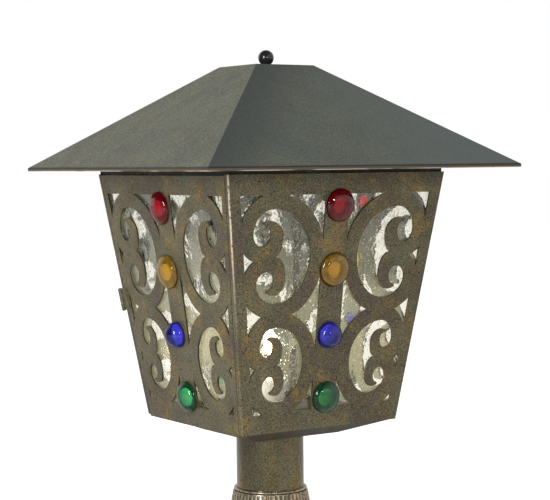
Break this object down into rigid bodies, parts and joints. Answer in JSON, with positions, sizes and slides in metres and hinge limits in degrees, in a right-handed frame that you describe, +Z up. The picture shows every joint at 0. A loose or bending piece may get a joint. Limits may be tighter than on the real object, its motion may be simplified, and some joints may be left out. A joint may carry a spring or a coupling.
{
  "type": "post top lantern",
  "caption": "Square tapering post top lantern with a hipped roof, pierced scroll panels set with coloured glass domes, a hinged panel door and a fluted collar for a round post.",
  "frame": {"origin": "on the axis of the post socket, at its mouth, which is the foot of the collar", "axes": "+Z up along the post, -Y out of the front panel, -X out of the panel that is hung as a door"},
  "size_m": [0.434, 0.434, 0.5677],
  "materials": {
    "panel_bronze": "mottled antique bronze enamel, satin",
    "frame_bronze": "dark antique bronze enamel, satin",
    "roof_bronze": "weathered grey-green antique enamel, satin",
    "finial_enamel": "black enamel, gloss",
    "tube_bronze": "mottled antique bronze enamel, satin",
    "collar_bronze": "antique bronze enamel worn bright on its ribs",
    "hinge_steel": "antique bronze enamel over steel",
    "clip_steel": "plated",
    "zinc_steel": "zinc plated",
    "magnet_nickel": "nickel plated",
    "nipple_brass": "plain",
    "shell_brass": "plain",
    "bulb_base_metal": "plain",
    "holder_porcelain": "glazed porcelain",
    "window_glass": "clear rippled",
    "bulb_glass": "clear",
    "bulb_capsule": "frosted, lit, warm white",
    "jewel_red": "cast, domed, deep red",
    "jewel_amber": "cast, domed, amber",
    "jewel_blue": "cast, domed, cobalt blue",
    "jewel_green": "cast, domed, green"
  },
  "bodies": {
    "lantern_body": {"back_glass": "window_glass", "back_glass_clips": "clip_steel", "back_jewel_amber": "jewel_amber", "back_jewel_blue": "jewel_blue", "back_jewel_green": "jewel_green", "back_jewel_red": "jewel_red", "back_panel": "panel_bronze", "bottom_pan": "frame_bronze", "bracket_screws": "zinc_steel", "bulb_base": "bulb_base_metal", "bulb_capsule": "bulb_capsule", "bulb_glass": "bulb_glass", "catch_magnets": "magnet_nickel", "corner_angle_back_left": "frame_bronze", "corner_angle_back_right": "frame_bronze", "corner_angle_front_left": "frame_bronze", "corner_angle_front_right": "frame_bronze", "finial_ball": "finial_enamel", "finial_rod": "zinc_steel", "finial_rod_nuts": "zinc_steel", "fitter_tube": "tube_bronze", "front_glass": "window_glass", "front_glass_clips": "clip_steel", "front_jewel_amber": "jewel_amber", "front_jewel_blue": "jewel_blue", "front_jewel_green": "jewel_green", "front_jewel_red": "jewel_red", "front_panel": "panel_bronze", "hinge_frame_leaf": "hinge_steel", "hinge_pin": "hinge_steel", "holder_screw_shell": "shell_brass", "lamp_bracket": "zinc_steel", "lamp_holder": "holder_porcelain", "neck_frame": "frame_bronze", "nipple_locknut": "zinc_steel", "post_collar": "collar_bronze", "right_glass": "window_glass", "right_glass_clips": "clip_steel", "right_jewel_amber": "jewel_amber", "right_jewel_blue": "jewel_blue", "right_jewel_green": "jewel_green", "right_jewel_red": "jewel_red", "right_panel": "panel_bronze", "roof_cap": "roof_bronze", "roof_cross_bar": "zinc_steel", "roof_shell": "roof_bronze", "set_screws": "zinc_steel", "threaded_nipple": "nipple_brass"},
    "door": {"door_panel": "panel_bronze", "door_glass": "window_glass", "door_glass_clips": "clip_steel", "door_jewel_red": "jewel_red", "door_jewel_amber": "jewel_amber", "door_jewel_blue": "jewel_blue", "door_jewel_green": "jewel_green", "hinge_door_leaf": "hinge_steel"}
  },
  "joints": [
    {"name": "door_hinge", "type": "hinge", "parent": "lantern_body", "child": "door", "pos_m": [-0.1318, 0.1318, 0.2625], "axis": [0.1402, -0.1402, -0.9801], "range_deg": [0, 120]}
  ]
}
